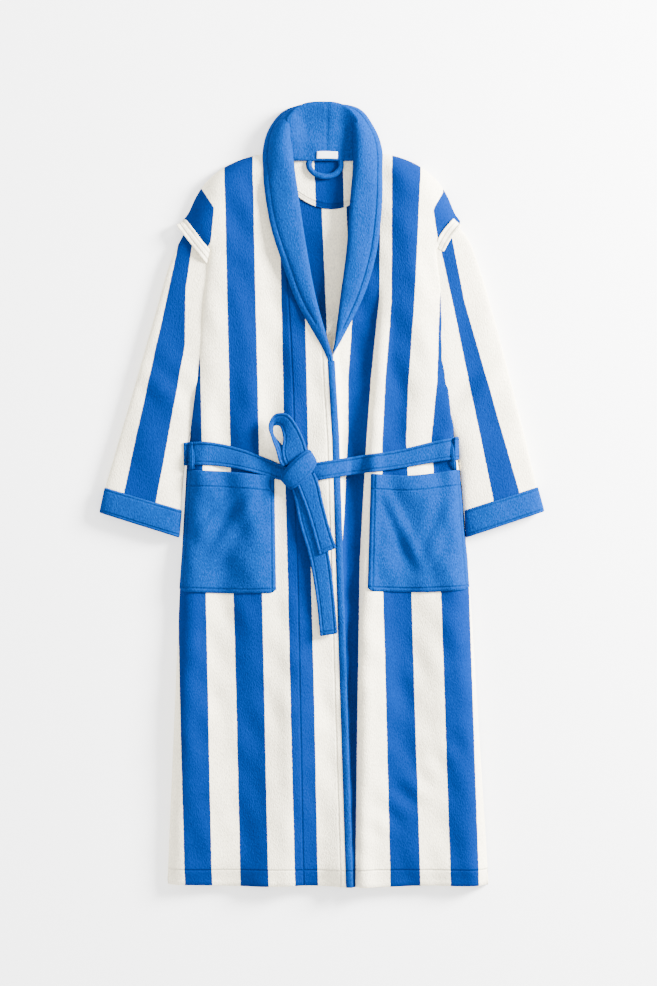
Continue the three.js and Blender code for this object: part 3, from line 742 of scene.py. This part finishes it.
def armhole_band(side):
    """The double-stitched seam over the shoulder's end."""
    count, reach = 30, 8.5
    middle = points_through(BAND_LINE[side], count)
    along = np.gradient(middle, axis=0)
    along /= np.linalg.norm(along, axis=1, keepdims=True)
    out = np.stack([along[:, 1], -along[:, 0]], axis=1) * -side * reach
    plan = middle[:, None] + BAND_SHARES[None, :, None] * out[:, None]
    t = np.linspace(0, 1, count)[:, None]
    x, y = plan[:, :, 0], plan[:, :, 1]
    front_top = body_top(side, x, y, crown_y(x) - y)
    ends = 4.6 * ramp(t, 0.72, 1.0) + 2.0 * ramp(t, 0.1, 0)
    sleeve_top = ARM_SEAM - 13 * ramp(t, 0.22, 0)
    z = np.maximum(front_top, sleeve_top) + (0.5 if side < 0 else 1.5) + 0.4 * BAND_PUFF[None, :] - ends
    lines = (np.abs(BAND_SHARES) * reach - 3.6)[None, :] + 0 * z
    return cloth(f"{WHO[side]}_armhole_band_cloth", np.concatenate([plan, z[:, :, None]], axis=2), 1.6,
                 seam_u=lines, seam_v=FAR)


# ---------------------------------------------------------------- pockets
POCKET = {
    -1: {"mouth": [(-217, 37), (-150, 34), (-78, 27)], "foot": [(-231, -158), (-150, -161), (-75, -160)]},
    1: {"mouth": [(224, 38), (136, 28), (80, 31)], "foot": [(239, -155), (150, -159), (75, -157)]},
}


CREASES = {
    -1: [((-96, 22), (-186, -120), 2.8, 18), ((-118, 12), (-214, -84), 1.8, 14)],
    1: [((100, 12), (166, -128), 3.0, 15), ((216, -2), (168, -120), 2.2, 18)],
}


def crease(x, y, start, end, height, reach):
    """A soft ridge from start to end, with a hollow along its far side."""
    start, run = np.array(start, float), np.array(end, float) - np.array(start, float)
    length = np.hypot(*run)
    along = ((x - start[0]) * run[0] + (y - start[1]) * run[1]) / length**2
    off = ((x - start[0]) * run[1] - (y - start[1]) * run[0]) / length
    fade = ramp(along, -0.1, 0.3) * (1 - ramp(along, 0.75, 1.1))
    return height * fade * (hump(off, 0, reach) - 0.7 * hump(off, reach, reach))


def pocket(side):
    """A patch pocket whose mouth gapes, stitched below the mouth and along its other three sides."""
    rows, columns = 52, 44
    wide, tall = 150, 195
    mouth, foot = (points_through(POCKET[side][key], columns) for key in ("mouth", "foot"))
    middle_rows = np.linspace(0.06, 0.94, rows - 10)[1:-1]
    t = np.concatenate([np.linspace(0, 0.06, 5), middle_rows, np.linspace(0.94, 1, 7)])
    plan = foot[None] + (mouth - foot)[None] * t[:, None, None]
    x, y = plan[:, :, 0], plan[:, :, 1]
    u = np.linspace(0, 1, columns)[None, :]
    v = t[:, None]
    corner = np.clip((np.abs(u - 0.5) - 0.44) / 0.06, 0, 1) ** 2 * np.clip((0.045 - v) / 0.045, 0, 1) ** 2
    plan[:, :, 1] += 4 * corner
    from_side = np.minimum(u, 1 - u) * wide
    inside = rounded(from_side, 16) * rounded(v * tall, 16)
    gape = np.sin(u * math.pi) * ramp(v, 0.55, 1)
    streak = np.sin((x * side * -0.9 + 0.8 * y) / 19) * hump(u, 0.5, 0.5) * hump(v, 0.5, 0.5)
    drawn = sum(crease(x, y, *line) for line in CREASES[side])
    z = body_top(side, x, y) + 1.2 + 2.6 * inside + 3.0 * gape + 1.1 * streak + drawn
    z += 0.9 * swell(x, y, 30, 50 + side)
    seam_u = (np.abs(u - 0.5) - 0.5) * wide + 6 + 0 * x
    seam_v = np.abs(v - 0.455) * tall - 0.423 * tall + 0 * x
    grid = np.concatenate([plan, z[:, :, None]], axis=2)
    return cloth(f"{WHO[side]}_pocket_cloth", grid, 2.8, seam_u=seam_u, seam_v=seam_v)


# ---------------------------------------------------------------- collar and neck
COLLAR = {
    -1: {
        "inner": [(18, 222), (9, 250), (-10, 320), (-25, 400), (-37, 478), (-46, 544), (-48, 585), (-43, 612),
                  (-30, 627), (2, 632)],
        "outer": [(21, 184), (0, 236), (-40, 307), (-65, 375), (-84, 437), (-95, 509), (-96, 560), (-84, 598),
                  (-56, 626), (0, 637)],
    },
    1: {
        "inner": [(18, 232), (21, 250), (30, 320), (40, 397), (45, 471), (50, 530), (49, 575), (45, 605),
                  (34, 622), (4, 631)],
        "outer": [(18, 224), (37, 258), (68, 320), (87, 382), (96, 447), (99, 509), (98, 560), (84, 598),
                  (58, 628), (2, 637)],
    },
}


def collar(side):
    """A stuffed roll from the lapel's tip to the middle of the back neck, with a pressed outer edge."""
    count, around = 110, 40
    share = np.linspace(0, 1, 10)
    at = np.linspace(0, 1, count)
    inner, outer = (
        np.stack([through(zip(share, column), at) for column in np.array(COLLAR[side][key], float).T], axis=1)
        for key in ("inner", "outer")
    )
    lap = 30.8 if side < 0 else 26.6
    base = through([(0, lap), (0.25, lap), (0.5, lap - 1), (0.62, 15), (0.75, 6), (1, 5.6)], at)
    puff = [(0, 2.5), (0.06, 6), (0.3, 10), (0.5, 13), (0.62, 25), (0.75, 28), (0.88, 20), (1, 14)]
    thick = through(puff, at)
    angle = np.linspace(0, math.tau, around, endpoint=False)
    across = (1 - np.cos(angle)) / 2
    top = np.sin(angle) > 0
    profile = np.abs(np.sin(angle)) ** 0.75
    bulge = np.where(top, profile * (1.12 - 0.55 * across), 0.0)
    plan = inner[:, None] + (outer - inner)[:, None] * across[None, :, None]
    wide = np.linalg.norm(outer - inner, axis=1)[:, None]
    x, y = plan[:, :, 0], plan[:, :, 1]
    press = 10.5
    from_edge = (1 - across)[None, :] * wide
    groove = 1.8 * np.exp(-(((from_edge - press) / 2.2) ** 2)) * ramp(wide, 16, 30)
    flow = 1.0 * swell(x, y, 34, 60 + side) * np.sin(angle)[None, :]
    z = base[:, None] + thick[:, None] * bulge[None, :] - np.where(top[None, :], groove - flow, 0)
    tip = ramp(at, 0, 0.03)[:, None]
    z = lerp(lap + 1.5, z, 0.3 + 0.7 * tip)
    seam_u = np.where(top[None, :], from_edge - press, FAR) + np.where(wide < 22, FAR, 0)
    rings = np.concatenate([plan, z[:, :, None]], axis=2)
    return loft(f"{WHO[side]}_collar_cloth", rings, seam_u=seam_u, seam_v=FAR)


NECK_SEAM_Y = 544


def collar_stand():
    """The inner face of the collar behind the neck, which stands up towards the rim."""
    rows, columns = 30, 44
    v, u = np.linspace(0, 1, rows)[:, None], np.linspace(-1, 1, columns)[None, :]
    top = NECK_SEAM_Y + 89 * (1 - np.abs(u) ** 3.2 * 0.3)
    y = lerp(NECK_SEAM_Y - 3, top, v)
    x = 1 + 58 * u + 0 * v
    climb = np.maximum(ramp(x, -22, -50), ramp(v, 0.55, 1.0))
    z = 18.2 + lerp(1.0, 12.5, climb) * v**0.6 - 3.0 * hump(x, 34, 22)
    z += 1.5 * swell(x, y, 22, 71) * np.sin(v * math.pi)
    z -= 1.1 * np.exp(-(((x - 7 - 2 * v) / 1.8) ** 2))
    return cloth("collar_stand_cloth", np.stack([x, y, z], axis=2), 2.8, seam_u=FAR, seam_v=FAR)


def collar_fall():
    """The outer layer, turned down behind the neck and lying under the back panel."""
    rows, columns = 24, 40
    v, u = np.linspace(0, 1, rows)[:, None], np.linspace(-1, 1, columns)[None, :]
    share = np.abs(0.92 * u)
    low = 519 + 25 * share**2
    rim = NECK_SEAM_Y + 91 * (1 - share**2.4) ** (1 / 2.4)
    y = lerp(low, rim, v)
    x = 0.92 * 96 * u + 0 * v
    z = 2.6 + 2.6 * ramp(v, 0.7, 1) + 0.4 * swell(x, y, 26, 73)
    return cloth("collar_fall_cloth", np.stack([x, y, z], axis=2), 3.6, seam_u=FAR, seam_v=(y - low) - 6)


def neck_facing():
    """The half-moon sewn inside the back below the neck."""
    rows, columns = 22, 36
    v, u = np.linspace(0, 1, rows)[:, None], np.linspace(-1, 1, columns)[None, :]
    x = 2 + 49 * u + 0 * v
    low = 463 + 24 * ((x - 15) / 59) ** 2
    y = lerp(low, 543.5, v)
    z = 11.4 + 0.3 * swell(x, y, 24, 75)
    lines = [[(465, -10), (543, -13)], [(465, 36), (543, 34)]]
    return cloth("neck_facing_cloth", np.stack([x, y, z], axis=2), 2.0, seam_u=FAR,
                 seam_v=np.abs(y - low - 5) - 2.2, stripe=stripe_value(x, y, lines, False))


def hanger_loop():
    """A cloth tube sewn in at both ends under the collar stand."""
    path = points_through([(-20, 541, 14.8), (-21, 533, 15.6), (-14, 521, 17), (5, 514.5, 18), (22, 519, 17),
                           (31, 531, 15.6), (30, 541, 14.8)], 60)
    along = np.gradient(path, axis=0)
    along /= np.linalg.norm(along, axis=1, keepdims=True)
    side = np.cross(along, [0, 0, 1.0])
    up = np.cross(side, along)
    angle = np.linspace(0, math.tau, 18, endpoint=False)
    radius = 4.7 + 0.25 * np.sin(np.linspace(0, 19, 60))[:, None, None]
    ring = np.cos(angle)[None, :, None] * side[:, None] + 0.85 * np.sin(angle)[None, :, None] * up[:, None]
    seam = np.sin(angle)[None, :] * 4 + 0 * path[:, :1]
    return loft("hanger_loop_cloth", path[:, None] + radius * ring, seam_u=seam + 2.6, seam_v=FAR)


def neck_label():
    """A blank tape label on the collar stand."""
    v, u = np.linspace(0, 1, 8)[:, None], np.linspace(0, 1, 16)[None, :]
    x = lerp(-8, 25, u) + 0.4 * v
    y = lerp(543.3, 554.3, v) + 0.3 * np.sin(u * 4)
    z = 21.1 + 0.9 * v + 0.4 * np.sin(u * 5 + 1)
    return cloth("neck_label_tape", np.stack([x, y, z], axis=2), 0.7)


def settle(piece, material, body, nodes, blend_to=None):
    """Gives a piece its material, hides the CAD nodes it stands for, and attaches it to the body it moves with;
    given blend_to, it only bakes in the piece's transform.
    """
    piece.data.materials.append(material)
    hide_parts(*nodes)
    if blend_to:
        hinge_x = side_x(-1 if blend_to == "over_skirt" else 1, SPLIT_Y)
        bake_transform(piece)
    else:
        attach(piece, body)
    return piece


def build_body():
    back = settle(back_panel(), STRIPED, "robe", ["back_panel"])
    for side, skirt in ((-1, "over_skirt"), (1, "under_skirt")):
        who = WHO[side]
        edge = settle(front_edge(side), BLUE_TERRY, "robe",
                      [f"{who}_front_edge", f"{who}_skirt_edge"], skirt)
        panel = settle(front(side), STRIPED, "robe",
                       [f"{who}_front", f"{who}_front_skirt"], skirt)


def build_arms():
    for side in (-1, 1):
        who = WHO[side]
        arm = settle(sleeve(side), STRIPED, f"{who}_arm", [f"{who}_sleeve"])
        end = settle(cuff(side), BLUE_TERRY, f"{who}_arm", [f"{who}_cuff"])
        seam = settle(armhole_band(side), CREAM_TERRY, "robe", [f"{who}_armhole_band"])


def build_collar():
    for side in (-1, 1):
        roll = settle(collar(side), BLUE_TERRY, "robe", [f"{WHO[side]}_collar"])
    stand = settle(collar_stand(), BLUE_TERRY, "robe", ["collar_stand"])
    fall = settle(collar_fall(), BLUE_TERRY, "robe", ["collar_fall"])
    facing = settle(neck_facing(), STRIPED, "robe", ["neck_facing"])
    hanger = settle(hanger_loop(), BLUE_TERRY, "hanger", ["hanger_loop"])
    label = settle(neck_label(), LABEL_TAPE, "label", ["neck_label"])


def build_pockets():
    for side in (-1, 1):
        patch = settle(pocket(side), BLUE_TERRY, "robe", [f"{WHO[side]}_pocket"])


def build_belt():
    back = settle(belt_back(), BLUE_TERRY, "robe", ["belt_back_run"])
    for side, length in ((-1, 0.17), (1, 0.25)):
        who = WHO[side]
        run = settle(belt_run(side), BLUE_TERRY, "robe", [f"belt_{who}_run"])
        strap = settle(belt_loop(side), BLUE_TERRY, "robe", [f"{who}_belt_loop"])
    knot = settle(belt_knot(), BLUE_TERRY, "robe", ["belt_knot"])
    bow = settle(bow_loop(), BLUE_TERRY, "bow", ["belt_bow_loop"])
    long_tail = settle(tail("belt_long_tail_cloth", LONG_TAIL, OVER_TOP + 4.2, 0.2), BLUE_TERRY,
                       "long_tail", ["belt_long_tail"])
    short_tail = settle(tail("belt_short_tail_cloth", SHORT_TAIL, OVER_TOP + 8.8, 1.2), BLUE_TERRY,
                        "short_tail", ["belt_short_tail"])


# ---------------------------------------------------------------- studio
FLOOR_SIZE = 12
SKY = 2.1
LAMPS = (("key", (2.5, 1.2, 1.35), 1.0, 900), ("fill", (-1.2, -0.6, 3.2), 2.5, 20))


def studio():
    """A pale floor, an even sky, and a low lamp from the upper right that draws the folds."""
    bpy.ops.mesh.primitive_plane_add(size=FLOOR_SIZE, location=(0, 0, -0.0005))
    floor = bpy.context.object
    floor.name = "studio_floor"
    n = Nodes("floor")
    where = n.add("ShaderNodeTexCoord").outputs["Object"]
    tone = n.blend(n.noise(where, 3.0), (0.93, 0.93, 0.93, 1), (0.95, 0.95, 0.95, 1))
    n.give(n.shader.inputs["Base Color"], tone)
    n.shader.inputs["Emission Color"].default_value = (1, 1, 1, 1)
    n.shader.inputs["Emission Strength"].default_value = 0.8
    n.shader.inputs["Roughness"].default_value = 0.9
    floor.data.materials.append(n.material)
    world = bpy.data.worlds.new("studio")
    world.use_nodes = True
    world.node_tree.nodes["Background"].inputs["Color"].default_value = (1, 1, 1, 1)
    world.node_tree.nodes["Background"].inputs["Strength"].default_value = SKY
    bpy.context.scene.world = world
    for name, place, size, power in LAMPS:
        lamp = bpy.data.lights.new(name, "AREA")
        lamp.size = size
        lamp.energy = power
        thing = bpy.data.objects.new(name, lamp)
        thing.location = place
        thing.rotation_euler = (-Vector(place)).to_track_quat("-Z", "Y").to_euler()
        bpy.context.scene.collection.objects.link(thing)


def camera():
    """Straight above the robe, as far off as a portrait lens needs to take it in."""
    lens, sensor = 85, 36
    middle, tall, robe_top = (0.0107, 0.0008), 1.597, 0.025
    data = bpy.data.cameras.new("camera")
    data.lens = lens
    data.sensor_width = sensor
    thing = bpy.data.objects.new("camera", data)
    thing.location = (*middle, tall * lens / sensor + robe_top)
    bpy.context.scene.collection.objects.link(thing)
    bpy.context.scene.camera = thing


camera()
studio()
build_body()
build_arms()
build_collar()
build_pockets()
build_belt()

bpy.context.view_layer.update()
